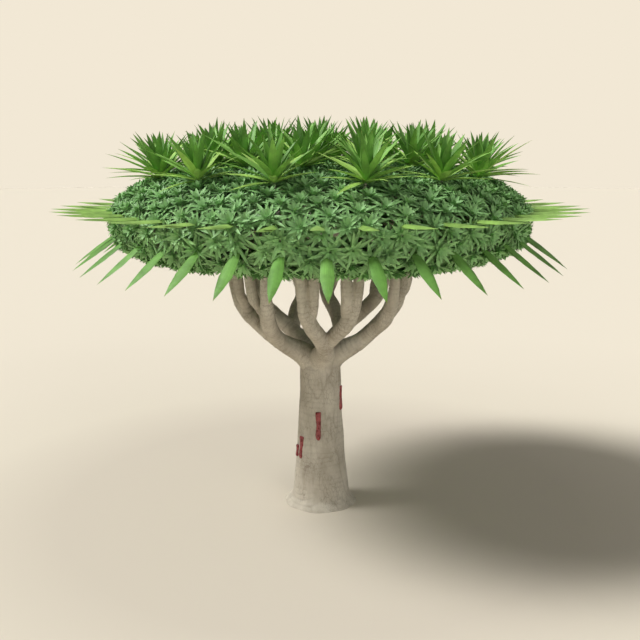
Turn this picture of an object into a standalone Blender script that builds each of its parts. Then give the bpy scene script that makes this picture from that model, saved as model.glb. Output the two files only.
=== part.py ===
"""Dragon blood tree, whole: a stout trunk, forked boughs, an umbrella crown in several masses, resin streaks.

Metres, +Z up. The origin is the centre of the trunk's flat cut at ground level. The tree's front faces -Y, and
azimuths are measured round from the front, positive towards +X.
"""

import math
import random

import bmesh
import bpy
from mathutils import Vector, noise

# ---- Driving dimensions -------------------------------------------------------------------------------------
GAP = 0.0003                # clearance kept between pieces that touch
SEED = 11

# Trunk, from the flat cut at the ground to the fork
TRUNK_HEIGHT = 2.0
TRUNK_TOP_RADIUS = 0.285
TRUNK_FOOT_RADIUS = 0.42
FLARE_RADIUS = 0.51         # root flare where it meets the ground
FLARE_HEIGHT = 0.11
TRUNK_LEAN = -0.008         # how far along X the fork stands off the foot
TRUNK_SIDES = 14
TRUNK_LEVELS = 8
TRUNK_UNEVEN = 0.022        # swell and waist of the trunk, as a share of its radius

# Boughs: five leave the trunk, each forks into two arms, each arm into two limbs
BOUGH_NAMES = ("front", "right", "back_right", "back_left", "left")
BOUGH_AZIMUTH = math.radians(6)
BOUGH_RADIUS = 0.114        # half thickness at the first fork
BOUGH_FOOT_RADIUS = 0.168   # half thickness where a bough leaves the trunk
ARM_RADIUS = 0.105          # half thickness at the second fork
LIMB_RADIUS = 0.076         # half thickness where the limbs enter the crown
BEND_RADIUS = 0.083         # half thickness at a limb's bend
BOUGH_ROOT = (0.02, 1.99)       # distance from the axis, height
BOUGH_ROOT_RADIUS = 0.20
BOUGH_FOOT = (0.19, 2.128)
FIRST_FORK = (0.595, 2.389)
SECOND_FORK = (1.02, 2.80)
SIDE_ROOT = (1.015, 2.79)       # of a side limb, inside the arm it leaves
LIMB_BEND = (1.17, 3.14)
LIMB_END = (1.22, 3.66)
ARM_ROOT = (0.565, 2.369)       # of the second arm, inside the bough
ARM_ROOT_RADIUS = 0.089
ARM_KEY = (0.8075, 2.585)       # on the second arm, half way between the forks
ARM_LEAD = 0.56             # how much of its turn an arm has made there
BOUGH_TWISTS = (0, 0, 2, -6, 9)         # degrees that each bough's arms stand off its foot's azimuth
ARM_SPREADS = (14, 18, 22, 21.5, 15.5)  # degrees that each arm stands off the middle of its bough
LIMB_SPREADS = (4, 7, 5, 4, 7)          # degrees that each limb ends off its arm
INNER_SPREAD = 1.2          # the side limb's spread, against that of the limb it leaves
BEND_SHARE = 0.8            # how much of its spread a limb has made at its bend
SIDE_SHARE = 0.75           # how much a side limb has made half way there
LIMB_SIDES = 7

# Crown body: a flat underside, a blunt rim and a low dome
CROWN_MASSES = len(BOUGH_NAMES)
CROWN_SHIFT = -0.010        # how far along X the crown's centre stands off the foot
UNDERSIDE = 3.544
UNDERSIDE_RADIUS = 2.22
UNDER_LIP = (2.51, 3.64)
LOWER_RIM = (2.70, 3.76)
CROWN_RADIUS = 2.80
CROWN_MIDDLE = 4.05         # height of the widest ring
DOME_RISE = 0.744
DOME_POWER = 2.8            # above 2 the dome is flatter on top and fuller at its shoulder
CORE_RADIUS = 0.90          # corners of the five-sided middle mass
STEPS_PER_MASS = 6
DOME_STEPS = 6
CROWN_UNEVEN = 0.012
SHOULDER_TURN = -0.16       # where the dome's curve starts, a little under the widest ring
MIDDLE_RISE = 0.02          # the middle mass's peak, above the dome

# Fringes of long leaves: one stands straight out of the rim, one hangs out and down below it
RIM_LEAVES = 36
RIM_START = math.radians(-20.5)     # azimuth of the first leaf over the front bough
RIM_VALLEY = (2.85, 4.15)       # outer edge of the fringe between two leaves
RIM_TIP = (3.50, 4.205)
SKIRT_LEAVES = 34
SKIRT_START = math.radians(-30.3)
SKIRT_VALLEY = (2.79, 3.83)
SKIRT_TIP = (3.253, 3.435)
LEAF_HALF_WIDTH = 0.085
FRINGE_INSIDE = 2.45        # how deep in the body a fringe is rooted before it is trimmed
FRINGE_THICKNESS = 0.05
FRINGE_SHOULDER = 0.3       # where a leaf is widest, as a share of its length
FOOT_WIDTH = 0.75           # of a leaf, against its shoulder's

# Tufts of sword leaves on the dome
OUTER_TUFTS = 13
OUTER_TUFT_RADIUS = 2.12
INNER_TUFTS = 5
INNER_TUFT_RADIUS = 1.16
TUFT_BLADES = 5             # in each of three whorls
TUFT_HEIGHT = 0.62
TUFT_REACH = 0.46
TUFT_OUTWARD_REACH = 0.84   # reach of the outer tufts' blades towards the crown's edge
TUFT_HUB_RADIUS = 0.12
TUFT_HUB_HEIGHT = 0.10
TUFT_HUB_DEPTH = 0.09
OUTER_TUFT_TILT = 0.22      # lean of a tuft away from the crown's middle
INNER_TUFT_TILT = 0.08

# Resin streaks on the bark: azimuth, top, length
RESIN_STREAKS = ((-72, 0.86, 0.17), (-54, 1.01, 0.32), (-6, 1.395, 0.40), (70, 1.72, 0.35))
RESIN_HALF_WIDTH = 0.040
RESIN_DEPTH = 0.035
RESIN_SEAT = 0.004          # how far its middle lies under the bark
RESIN_SIDES = 6

BARK = (0.60, 0.56, 0.48)
BARK_ROUGHNESS = 0.85
FOLIAGE = (0.30, 0.45, 0.24)
FOLIAGE_ROUGHNESS = 0.7
LEAF_ROUGHNESS = 0.55
TUFT_GREEN = (0.40, 0.57, 0.28)
RIM_GREEN = (0.53, 0.67, 0.36)
SKIRT_GREEN = (0.45, 0.64, 0.33)
RESIN_RED = (0.52, 0.13, 0.16)
RESIN_ROUGHNESS = 0.25
SHARP_EDGE = math.radians(50)       # smooth pieces keep edges that turn more than this


# ---- Building blocks ----------------------------------------------------------------------------------------
def polar(radius, azimuth, height):
    """A point given by its distance from the Z axis, its azimuth from the front, and its height."""
    return Vector((radius * math.sin(azimuth), -radius * math.cos(azimuth), height))


def crown_point(radius, azimuth, height):
    """The same about the crown's own upright axis."""
    return polar(radius, azimuth, height) + Vector((CROWN_SHIFT, 0.0, 0.0))


def linear(channel):
    """A display colour channel as scene-linear light."""
    return channel / 12.92 if channel <= 0.04045 else ((channel + 0.055) / 1.055) ** 2.4


def paint(piece, colour, roughness):
    """Gives a piece a material of its own."""
    material = bpy.data.materials.new(piece.name)
    material.use_nodes = True
    shader = material.node_tree.nodes["Principled BSDF"]
    shader.inputs["Base Color"].default_value = (*(linear(c) for c in colour), 1.0)
    shader.inputs["Roughness"].default_value = roughness
    shader.inputs["Metallic"].default_value = 0.0
    piece.data.materials.append(material)


def add_piece(name, bm, smooth=False):
    """Turns a bmesh into a named object."""
    bmesh.ops.recalc_face_normals(bm, faces=bm.faces)
    mesh = bpy.data.meshes.new(name)
    bm.to_mesh(mesh)
    bm.free()
    if smooth:
        mesh.shade_smooth()
        mesh.set_sharp_from_angle(angle=SHARP_EDGE)
    piece = bpy.data.objects.new(name, mesh)
    bpy.context.scene.collection.objects.link(piece)
    return piece


def loft(rings, tip=None):
    """A closed body through rings of equally many points. It ends in a cap, or in a single point tip.

    Its sides are triangles, so that a slightly larger copy is creased along the same lines.
    """
    bm = bmesh.new()
    rows = [[bm.verts.new(point) for point in ring] for ring in rings]
    count = len(rows[0])
    for low, high in zip(rows, rows[1:]):
        for i in range(count):
            j = (i + 1) % count
            bm.faces.new((low[i], low[j], high[j]))
            bm.faces.new((low[i], high[j], high[i]))
    bm.faces.new(rows[0][::-1])
    if tip is None:
        bm.faces.new(rows[-1])
    else:
        end = bm.verts.new(tip)
        for i in range(count):
            bm.faces.new((rows[-1][i], rows[-1][(i + 1) % count], end))
    return bm


def cut(bm, point, normal):
    """Takes off what lies on the normal's side of a plane, and closes the cut."""
    everything = bm.verts[:] + bm.edges[:] + bm.faces[:]
    bmesh.ops.bisect_plane(bm, geom=everything, plane_co=point, plane_no=normal, clear_outer=True)
    open_edges = [edge for edge in bm.edges if edge.is_boundary]
    bmesh.ops.holes_fill(bm, edges=open_edges, sides=0)


def make_cutter(name, bm):
    """A hidden body that other pieces are trimmed against."""
    cutter = add_piece("cutter_" + name, bm)
    cutter.hide_render = True
    cutter.display_type = "WIRE"
    return cutter


def trim(piece, cutter):
    """Takes the cutter's body out of a piece."""
    modifier = piece.modifiers.new("trim_" + cutter.name, "BOOLEAN")
    modifier.operation = "DIFFERENCE"
    modifier.object = cutter


# ---- Trunk --------------------------------------------------------------------------------------------------
def trunk_axis(height):
    """Centre of the trunk at a height: it stands upright and leans a little near the fork."""
    return Vector((TRUNK_LEAN * (height / TRUNK_HEIGHT) ** 3, 0.0, height))


def trunk_radius(height):
    """Radius at a height: a quick taper low down, and the root flare just above the ground."""
    rise = min(height / TRUNK_HEIGHT, 1.0)
    radius = TRUNK_TOP_RADIUS + (TRUNK_FOOT_RADIUS - TRUNK_TOP_RADIUS) * (1.0 - rise) ** 2
    flare = max(0.0, 1.0 - height / FLARE_HEIGHT)
    return radius + (FLARE_RADIUS - TRUNK_FOOT_RADIUS) * flare ** 1.4


def trunk_rings(swell=0.0):
    heights = [0.0, FLARE_HEIGHT * 0.35, FLARE_HEIGHT]
    step = (TRUNK_HEIGHT - FLARE_HEIGHT) / TRUNK_LEVELS
    heights += [FLARE_HEIGHT + step * i for i in range(1, TRUNK_LEVELS + 1)]
    rings = []
    for height in heights:
        ring = []
        for i in range(TRUNK_SIDES):
            angle = math.tau * i / TRUNK_SIDES
            lump = noise.noise(Vector((math.cos(angle) * 1.3, math.sin(angle) * 1.3, height * 2.2)))
            radius = trunk_radius(height) * (1.0 + TRUNK_UNEVEN * 2.0 * lump) + swell
            ring.append(trunk_axis(height) + polar(radius, angle, 0.0))
        rings.append(ring)
    return rings


def make_trunk():
    trunk = add_piece("trunk", loft(trunk_rings()), smooth=True)
    paint(trunk, BARK, BARK_ROUGHNESS)
    return make_cutter("trunk", loft(trunk_rings(GAP)))


# ---- Boughs, arms and limbs ---------------------------------------------------------------------------------
def knot(place, azimuth, radius):
    """A key of a limb: place is (distance from the axis, height), and radius is its half thickness."""
    point = trunk_axis(TRUNK_HEIGHT) + polar(place[0], azimuth, place[1] - TRUNK_HEIGHT)
    return Vector((*point, radius))


def smooth_path(keys, rings_per_span=2):
    """A Catmull-Rom curve through a limb's keys, which carry the radius as a fourth coordinate."""
    ends = [2 * keys[0] - keys[1]] + keys + [2 * keys[-1] - keys[-2]]
    path = []
    for a, b, c, d in zip(ends, ends[1:], ends[2:], ends[3:]):
        for step in range(rings_per_span):
            t = step / rings_per_span
            square = (2 * a - 5 * b + 4 * c - d) * t ** 2
            cube = (3 * b - a - 3 * c + d) * t ** 3
            path.append(0.5 * (2 * b + (c - a) * t + square + cube))
    return path + [keys[-1]]


def tube_rings(path, swell=0.0):
    """Rings square to a path whose points carry a radius."""
    rings = []
    side = Vector((0.3, 0.2, 1.0))
    for i, place in enumerate(path):
        along = (path[min(i + 1, len(path) - 1)] - path[max(i - 1, 0)]).to_3d().normalized()
        side = (side - along * side.dot(along)).normalized()
        across = along.cross(side)
        ring = []
        for k in range(LIMB_SIDES):
            angle = math.tau * k / LIMB_SIDES
            ring.append(place.to_3d() + (side * math.cos(angle) + across * math.sin(angle)) * (place.w + swell))
        rings.append(ring)
    return rings


def limb_body(path, swell=0.0):
    """A limb cut flat where it meets the underside of the crown."""
    bm = loft(tube_rings(path, swell))
    cut(bm, Vector((0.0, 0.0, UNDERSIDE - GAP)), Vector((0.0, 0.0, 1.0)))
    return bm


def crown_end(azimuth, spread):
    """Keys of a limb's last stretch, from the bend to just inside the crown."""
    return [
        knot(LIMB_BEND, azimuth + spread * BEND_SHARE, BEND_RADIUS),
        knot(LIMB_END, azimuth + spread, LIMB_RADIUS),
    ]


def make_limb(name, path, trimmed_by):
    limb = add_piece(name, limb_body(path), smooth=True)
    paint(limb, BARK, BARK_ROUGHNESS)
    trim(limb, trimmed_by)


def make_bough(index, name):
    """One bough off the trunk, its second arm, and the limb that leaves each of the two."""
    azimuth = BOUGH_AZIMUTH + math.tau * index / len(BOUGH_NAMES)
    side = 1 if index % 2 else -1
    middle = azimuth + math.radians(BOUGH_TWISTS[index])
    spread = side * math.radians(LIMB_SPREADS[index])
    start = [
        knot(BOUGH_ROOT, azimuth, BOUGH_ROOT_RADIUS),
        knot(BOUGH_FOOT, azimuth, BOUGH_FOOT_RADIUS),
        knot(FIRST_FORK, azimuth, BOUGH_RADIUS),
    ]
    turn = middle + side * math.radians(ARM_SPREADS[index])
    path = smooth_path(start + [knot(SECOND_FORK, turn, ARM_RADIUS)] + crown_end(turn, spread))
    bm = limb_body(path)
    seat_on_trunk(bm, azimuth)
    bough = add_piece("bough_" + name, bm, smooth=True)
    paint(bough, BARK, BARK_ROUGHNESS)
    bough_cutter = make_cutter("bough_" + name, limb_body(path, GAP))
    make_side_limb("limb_" + name + "_1", turn, -spread, bough_cutter)

    turn = middle - side * math.radians(ARM_SPREADS[index])
    start = [
        knot(ARM_ROOT, azimuth, ARM_ROOT_RADIUS),
        knot(ARM_KEY, azimuth + (turn - azimuth) * ARM_LEAD, ARM_RADIUS),
    ]
    path = smooth_path(start + [knot(SECOND_FORK, turn, ARM_RADIUS)] + crown_end(turn, -spread))
    make_limb("arm_" + name, path, bough_cutter)
    arm_cutter = make_cutter("arm_" + name, limb_body(path, GAP))
    make_side_limb("limb_" + name + "_2", turn, spread, arm_cutter)


def seat_on_trunk(bm, azimuth):
    """Cuts a bough's foot to the trunk's top and to the two planes it shares with its neighbours."""
    centre = trunk_axis(TRUNK_HEIGHT) + Vector((0.0, 0.0, GAP))
    cut(bm, centre, Vector((0.0, 0.0, -1.0)))
    half = math.pi / CROWN_MASSES
    for sign in (-1, 1):
        edge = azimuth + sign * half
        outward = Vector((math.cos(edge), math.sin(edge), 0.0)) * sign
        cut(bm, centre - outward * GAP / 2, outward)


def make_side_limb(name, azimuth, spread, parent_cutter):
    """The shorter limb of a second fork: it leaves sharply, then rises beside its neighbour."""
    middle = ((SECOND_FORK[0] + LIMB_BEND[0]) / 2, (SECOND_FORK[1] + LIMB_BEND[1]) / 2)
    keys = [
        knot(SIDE_ROOT, azimuth, LIMB_RADIUS),
        knot(middle, azimuth + spread * SIDE_SHARE, LIMB_RADIUS),
    ]
    path = smooth_path(keys + crown_end(azimuth, spread * INNER_SPREAD), 1)
    make_limb(name, path, parent_cutter)


# ---- Crown body ---------------------------------------------------------------------------------------------
def dome_height(radius):
    return CROWN_MIDDLE + DOME_RISE * math.sqrt(max(0.0, 1.0 - (radius / CROWN_RADIUS) ** DOME_POWER))


def core_edge(azimuth):
    """Distance from the axis to the flat side of the five-sided middle mass."""
    half = math.pi / CROWN_MASSES
    off = (azimuth - BOUGH_AZIMUTH + half) % (2 * half) - half
    return CORE_RADIUS * math.cos(half) / math.cos(off)


def unevenness(azimuth, height):
    place = Vector((math.sin(azimuth) * 1.9, math.cos(azimuth) * 1.9, height * 1.4 + SEED))
    return 2.0 * CROWN_UNEVEN * noise.noise(place)


def crown_profile(azimuth, swell=0.0):
    """The crown's outline at an azimuth, from the middle of its underside round the rim to the middle mass."""
    inner = core_edge(azimuth) + GAP
    outline = [(inner, UNDERSIDE), (UNDERSIDE_RADIUS, UNDERSIDE), UNDER_LIP, LOWER_RIM]
    last = math.acos((inner / CROWN_RADIUS) ** (DOME_POWER / 2))
    for i in range(DOME_STEPS + 1):
        turn = SHOULDER_TURN + (last - SHOULDER_TURN) * (i / DOME_STEPS) ** 1.15
        radius = CROWN_RADIUS * math.cos(turn) ** (2 / DOME_POWER)
        outline.append((radius, CROWN_MIDDLE + DOME_RISE * math.sin(turn)))
    points = []
    for i, (radius, height) in enumerate(outline):
        if 0 < i < len(outline) - 1:
            radius *= 1.0 + unevenness(azimuth, height)
        if height > CROWN_MIDDLE:
            height += 2.0 * unevenness(azimuth * 2.0, radius)
        away = Vector((radius, height - CROWN_MIDDLE)).normalized() * swell
        points.append((radius + away.x, height + away.y))
    return points


def make_crown_masses():
    """Five masses side by side, each over its own bough, with flat walls between them."""
    step = math.tau / CROWN_MASSES / STEPS_PER_MASS
    for index, name in enumerate(BOUGH_NAMES):
        first = BOUGH_AZIMUTH + (index - 0.5) * math.tau / CROWN_MASSES
        columns = []
        for i in range(STEPS_PER_MASS + 1):
            azimuth = first + i * step
            column = [crown_point(radius, azimuth, height) for radius, height in crown_profile(azimuth)]
            aside = polar(1.0, azimuth + math.pi / 2, 0.0)
            shift = {0: GAP / 2, STEPS_PER_MASS: -GAP / 2}.get(i, 0.0)
            columns.append([point + aside * shift for point in column])
        mass = add_piece("foliage_" + name, loft(columns))
        paint(mass, FOLIAGE, FOLIAGE_ROUGHNESS)


def crown_cutter():
    """The five masses as one slightly larger body."""
    count = CROWN_MASSES * STEPS_PER_MASS
    first = BOUGH_AZIMUTH - math.pi / CROWN_MASSES
    azimuths = [first + math.tau * i / count for i in range(count)]
    outlines = [crown_profile(azimuth, 2 * GAP) for azimuth in azimuths]
    rings = []
    for row in zip(*outlines):
        rings.append([crown_point(radius, azimuth, height) for azimuth, (radius, height) in zip(azimuths, row)])
    return make_cutter("crown", loft(rings))


def middle_rings(swell=0.0):
    """Rings of the middle mass: a five-sided column with a low domed top."""
    count = CROWN_MASSES * 2
    azimuths = [BOUGH_AZIMUTH + math.tau * i / count for i in range(count)]
    rings = [[crown_point(core_edge(a), a, UNDERSIDE) for a in azimuths]]
    for share in (1.0, 0.5):
        ring = []
        for azimuth in azimuths:
            radius = core_edge(azimuth) * share
            ring.append(crown_point(radius, azimuth, dome_height(radius) + swell))
        rings.append(ring)
    return rings


def make_middle_mass():
    top = crown_point(0.0, 0.0, dome_height(0.0) + MIDDLE_RISE)
    mass = add_piece("foliage_middle", loft(middle_rings(), tip=top))
    paint(mass, FOLIAGE, FOLIAGE_ROUGHNESS)
    return make_cutter("middle", loft(middle_rings(2 * GAP), tip=top + Vector((0.0, 0.0, 2 * GAP))))


# ---- Fringes of long leaves ---------------------------------------------------------------------------------
def slab(points, half_thickness, faces):
    """A closed slab: faces index its points, walls close its outline, and a point with no thickness is shared."""
    bm = bmesh.new()
    high = [bm.verts.new(point + Vector((0.0, 0.0, t))) for point, t in zip(points, half_thickness)]
    low = []
    for upper, point, t in zip(high, points, half_thickness):
        low.append(bm.verts.new(point - Vector((0.0, 0.0, t))) if t else upper)
    edges = {(i, j) for face in faces for i, j in zip(face, face[1:] + face[:1])}
    for face in faces:
        bm.faces.new([high[i] for i in face])
        bm.faces.new([low[i] for i in reversed(face)])
    for i, j in sorted(edges):
        if (j, i) not in edges:
            wall = [high[j], high[i], low[i], low[j]]
            bm.faces.new(list(dict.fromkeys(wall)))
    bmesh.ops.triangulate(bm, faces=bm.faces)
    return bm


def fringe_body(azimuths, spacing, valley, tip):
    """A band inside the crown's rim with one long tapering leaf at each azimuth."""
    points = []
    half_thickness = []
    faces = []

    def place(radius, azimuth, aside, thickness):
        slope = (radius - valley[0]) / (tip[0] - valley[0])
        height = valley[1] + (tip[1] - valley[1]) * slope
        across = polar(1.0, azimuth + math.pi / 2, 0.0)
        points.append(crown_point(radius, azimuth, height) + across * aside)
        half_thickness.append(thickness / 2)
        return len(points) - 1

    shoulder = valley[0] + (tip[0] - valley[0]) * FRINGE_SHOULDER
    inner_left = place(FRINGE_INSIDE, azimuths[0] - spacing / 2, 0.0, FRINGE_THICKNESS)
    valley_left = place(valley[0], azimuths[0] - spacing / 2, 0.0, FRINGE_THICKNESS)
    for azimuth in azimuths:
        inner_right = place(FRINGE_INSIDE, azimuth + spacing / 2, 0.0, FRINGE_THICKNESS)
        valley_right = place(valley[0], azimuth + spacing / 2, 0.0, FRINGE_THICKNESS)
        foot_left = place(valley[0], azimuth, -LEAF_HALF_WIDTH * FOOT_WIDTH, FRINGE_THICKNESS)
        foot_right = place(valley[0], azimuth, LEAF_HALF_WIDTH * FOOT_WIDTH, FRINGE_THICKNESS)
        left = place(shoulder, azimuth, -LEAF_HALF_WIDTH, FRINGE_THICKNESS * 0.8)
        right = place(shoulder, azimuth, LEAF_HALF_WIDTH, FRINGE_THICKNESS * 0.8)
        end = place(tip[0], azimuth, 0.0, 0.0)
        faces.append([inner_left, valley_left, foot_left, foot_right, valley_right, inner_right])
        faces.append([foot_left, left, right, foot_right])
        faces.append([left, end, right])
        inner_left = inner_right
        valley_left = valley_right
    return slab(points, half_thickness, faces)


def make_fringes(kind, count, start, valley, tip, colour, cutter):
    """A ring of leaves in five lengths, each over one bough."""
    spacing = math.tau / count
    for index, name in enumerate(BOUGH_NAMES):
        first = round(index * count / CROWN_MASSES)
        last = round((index + 1) * count / CROWN_MASSES)
        azimuths = [start + i * spacing for i in range(first, last)]
        trimmed_spacing = spacing - GAP / FRINGE_INSIDE / len(azimuths)
        bm = fringe_body(azimuths, trimmed_spacing, valley, tip)
        fringe = add_piece(kind + "_" + name, bm)
        paint(fringe, colour, LEAF_ROUGHNESS)
        trim(fringe, cutter)


# ---- Tufts of sword leaves ----------------------------------------------------------------------------------
def tuft_body(foot, axis, outward, reach_out, draw):
    """Three whorls of narrow blades on a low hub: spreading, slanting and upright."""
    side = axis.cross(outward).normalized()
    front = side.cross(axis).normalized()
    turned = draw.uniform(0.0, math.tau)
    count = 2 * TUFT_BLADES
    bm = bmesh.new()
    low = []
    high = []
    crown = []
    tips = []
    for i in range(count):
        angle = turned + math.tau * i / count
        away = front * math.cos(angle) + side * math.sin(angle)
        low.append(bm.verts.new(foot - axis * TUFT_HUB_DEPTH + away * TUFT_HUB_RADIUS))
        high.append(bm.verts.new(foot + axis * TUFT_HUB_HEIGHT + away * TUFT_HUB_RADIUS))
        rise = TUFT_HEIGHT * draw.uniform(0.84, 1.0) if i % 2 else TUFT_HUB_HEIGHT * 1.3
        spread = TUFT_HUB_RADIUS * (1.4 if i % 2 else 0.4)
        crown.append(bm.verts.new(foot + axis * rise + away * spread))
        angle += math.pi / count
        away = front * math.cos(angle) + side * math.sin(angle)
        reach = TUFT_REACH + (reach_out - TUFT_REACH) * max(0.0, away.dot(outward)) ** 2
        slant = (0.75, 0.70) if i % 2 else (1.0, 0.32)
        blade = away * reach * slant[0] + axis * TUFT_HEIGHT * slant[1]
        tips.append(bm.verts.new(foot + blade * draw.uniform(0.9, 1.0)))
    middle = bm.verts.new(foot + axis * TUFT_HUB_HEIGHT)
    for i in range(count):
        j = (i + 1) % count
        corners = [low[i], low[j], high[j], high[i]]
        for a, b in zip(corners, corners[1:] + corners[:1]):
            bm.faces.new((a, b, tips[i]))
        bm.faces.new((high[i], high[j], crown[j]))
        bm.faces.new((high[i], crown[j], crown[i]))
        bm.faces.new((crown[i], crown[j], middle))
    bm.faces.new(low[::-1])
    return bm


def make_tuft(name, radius, azimuth, tilt, reach_out, cutter, draw):
    outward = polar(1.0, azimuth, 0.0)
    axis = (Vector((0.0, 0.0, 1.0)) + outward * tilt).normalized()
    foot = crown_point(radius, azimuth, dome_height(radius))
    tuft = add_piece(name, tuft_body(foot, axis, outward, reach_out, draw))
    paint(tuft, TUFT_GREEN, LEAF_ROUGHNESS)
    trim(tuft, cutter)


def make_tufts(crown, middle):
    draw = random.Random(SEED)
    make_tuft("tuft_middle", 0.0, 0.0, 0.0, TUFT_REACH, middle, draw)
    for i in range(INNER_TUFTS):
        azimuth = BOUGH_AZIMUTH + math.tau * i / INNER_TUFTS
        make_tuft(f"tuft_inner_{i + 1}", INNER_TUFT_RADIUS, azimuth, INNER_TUFT_TILT, TUFT_REACH, crown, draw)
    for i in range(OUTER_TUFTS):
        azimuth = math.tau * (i + 0.5) / OUTER_TUFTS
        name = f"tuft_outer_{i + 1}"
        make_tuft(name, OUTER_TUFT_RADIUS, azimuth, OUTER_TUFT_TILT, TUFT_OUTWARD_REACH, crown, draw)


# ---- Resin --------------------------------------------------------------------------------------------------
def resin_body(azimuth, top, length):
    """A run of resin down the bark: flat at the top, narrow in the middle, rounded and full at its foot."""
    stations = ((0.0, 0.92), (0.08, 1.0), (0.5, 0.76), (0.84, 0.92), (0.95, 0.78), (1.0, 0.35))
    outward = polar(1.0, azimuth, 0.0)
    aside = polar(1.0, azimuth + math.pi / 2, 0.0)
    rings = []
    for share, width in reversed(stations):
        height = top - share * length
        centre = trunk_axis(height) + outward * (trunk_radius(height) - RESIN_SEAT)
        ring = []
        for k in range(RESIN_SIDES):
            angle = math.tau * k / RESIN_SIDES
            across = aside * math.cos(angle) * RESIN_HALF_WIDTH
            ring.append(centre + (across + outward * math.sin(angle) * RESIN_DEPTH) * width)
        rings.append(ring)
    return loft(rings)


def make_resin(cutter):
    for i, (azimuth, top, length) in enumerate(RESIN_STREAKS):
        streak = add_piece(f"resin_{i + 1}", resin_body(math.radians(azimuth), top, length), smooth=True)
        paint(streak, RESIN_RED, RESIN_ROUGHNESS)
        trim(streak, cutter)


# ---- Assembly -----------------------------------------------------------------------------------------------
def main():
    for old in list(bpy.data.objects):
        bpy.data.objects.remove(old)
    trunk = make_trunk()
    for index, name in enumerate(BOUGH_NAMES):
        make_bough(index, name)
    make_crown_masses()
    middle = make_middle_mass()
    crown = crown_cutter()
    make_fringes("rim_leaves", RIM_LEAVES, RIM_START, RIM_VALLEY, RIM_TIP, RIM_GREEN, crown)
    make_fringes("skirt_leaves", SKIRT_LEAVES, SKIRT_START, SKIRT_VALLEY, SKIRT_TIP, SKIRT_GREEN, crown)
    make_tufts(crown, middle)
    make_resin(trunk)


main()
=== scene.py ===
"""Looks of the dragon blood tree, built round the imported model.

Metres, +Z up. The tree's front faces -Y, and azimuths are measured round from it, positive
towards +X.
"""

import math
import random

import bmesh
import bpy
import numpy as np
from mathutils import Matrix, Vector, noise
from mathutils.kdtree import KDTree


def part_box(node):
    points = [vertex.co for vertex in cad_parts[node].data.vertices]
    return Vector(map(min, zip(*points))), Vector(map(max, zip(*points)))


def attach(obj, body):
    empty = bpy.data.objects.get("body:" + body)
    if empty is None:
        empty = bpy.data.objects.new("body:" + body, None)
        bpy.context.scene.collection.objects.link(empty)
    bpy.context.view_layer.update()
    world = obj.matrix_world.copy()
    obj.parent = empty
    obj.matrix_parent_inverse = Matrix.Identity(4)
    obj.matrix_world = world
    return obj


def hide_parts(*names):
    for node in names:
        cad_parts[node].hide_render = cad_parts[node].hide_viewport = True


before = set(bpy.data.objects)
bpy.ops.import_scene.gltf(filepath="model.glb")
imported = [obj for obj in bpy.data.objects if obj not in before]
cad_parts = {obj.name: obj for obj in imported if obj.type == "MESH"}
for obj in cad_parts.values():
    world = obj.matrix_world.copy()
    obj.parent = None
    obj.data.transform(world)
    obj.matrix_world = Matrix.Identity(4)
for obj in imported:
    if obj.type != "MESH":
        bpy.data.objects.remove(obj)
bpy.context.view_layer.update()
SEED = 23
GOLDEN_ANGLE = math.pi * (3.0 - math.sqrt(5.0))
UP = np.array((0.0, 0.0, 1.0))


def nodes_named(prefix):
    return sorted(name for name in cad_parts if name.startswith(prefix))


def box_of(prefix):
    """Lowest and highest corner of all the nodes whose names start with prefix."""
    boxes = [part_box(name) for name in nodes_named(prefix)]
    low = Vector(min(box[0][i] for box in boxes) for i in range(3))
    high = Vector(max(box[1][i] for box in boxes) for i in range(3))
    return low, high


# ---- Trunk and limbs, as in the CAD source -------------------------------------------------------
TRUNK_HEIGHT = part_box("trunk")[1].z
TRUNK_TOP_RADIUS = 0.285
TRUNK_FOOT_RADIUS = 0.42
FLARE_RADIUS = 0.51
FLARE_HEIGHT = 0.11
TRUNK_LEAN = -0.008
BOUGH_NAMES = ("front", "right", "back_right", "back_left", "left")
BOUGH_AZIMUTH = math.radians(6)
BOUGH_RADIUS = 0.114        # half thickness at the first fork
BOUGH_FOOT_RADIUS = 0.168   # half thickness where a bough leaves the trunk
ARM_RADIUS = 0.105          # half thickness at the second fork
LIMB_RADIUS = 0.070         # 6 mm less than in the solids, and BEND_RADIUS 8 mm, to part the pairs
BEND_RADIUS = 0.075
BOUGH_ROOT_DEPTH = 0.22     # how far under the fork a bough starts
BOUGH_FOOT = (0.19, 2.128)  # distance from the axis, height, as in the places below
FIRST_FORK = (0.595, 2.389)
SECOND_FORK = (1.02, 2.80)
SIDE_ROOT = (1.015, 2.79)       # of a side limb, inside the arm it leaves
LIMB_BEND = (1.17, 3.14)
LIMB_END = (1.22, 3.66)
ARM_ROOT = (0.565, 2.369)       # of the second arm, inside the bough
ARM_ROOT_RADIUS = 0.089
ARM_KEY = (0.8075, 2.585)       # on the second arm, half way between the forks
ARM_LEAD = 0.56             # how much of its turn an arm has made there
BOUGH_TWISTS = (0, 0, 2, -6, 9)         # degrees that each bough's arms stand off its azimuth
ARM_SPREADS = (14, 18, 22, 21.5, 15.5)  # degrees that each arm stands off the middle of its bough
LIMB_SPREADS = (4, 7, 5, 4, 7)          # degrees that each limb ends off its arm
INNER_SPREAD = 1.2          # the side limb's spread, against that of the limb it leaves
BEND_SHARE = 0.8            # how much of its spread a limb has made at its bend
SIDE_SHARE = 0.75           # how much a side limb has made half way there
ROUTE_STEPS = 6             # points between two keys of a limb
ROUTE_SIDES = 18

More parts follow.
